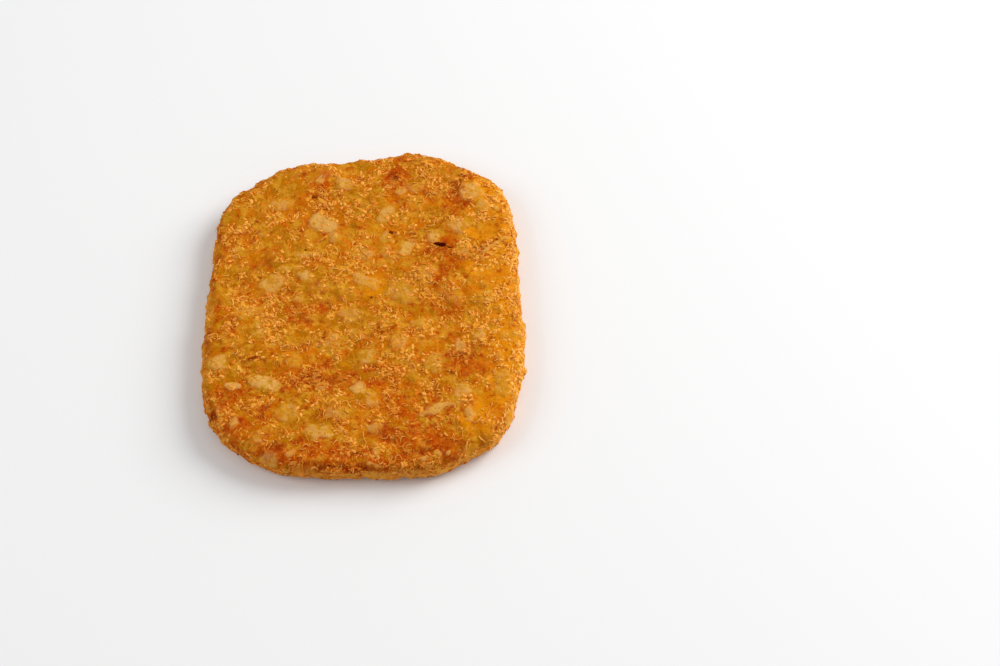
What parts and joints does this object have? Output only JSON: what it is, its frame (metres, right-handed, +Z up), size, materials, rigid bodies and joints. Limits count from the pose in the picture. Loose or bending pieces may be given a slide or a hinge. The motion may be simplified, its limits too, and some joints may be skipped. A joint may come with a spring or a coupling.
{
  "type": "potato pancake",
  "caption": "Fried potato pancake: a flat patty with a rounded square outline and a browned, crumbed crust, lying on its underside.",
  "frame": {"origin": "middle of the underside, at the centre of the bounding box's lower face, where a flat spot of the patty rests", "axes": "+Z up through the patty's thickness, +Y towards its far edge along its longer side, +X to the right when seen from the near edge"},
  "size_m": [0.1008, 0.1202, 0.0111],
  "materials": {
    "browned_crust": "oily, uneven golden brown with paler potato bits and dark brown edges"
  },
  "bodies": {
    "root": {"potato_pancake": "browned_crust"}
  },
  "joints": []
}
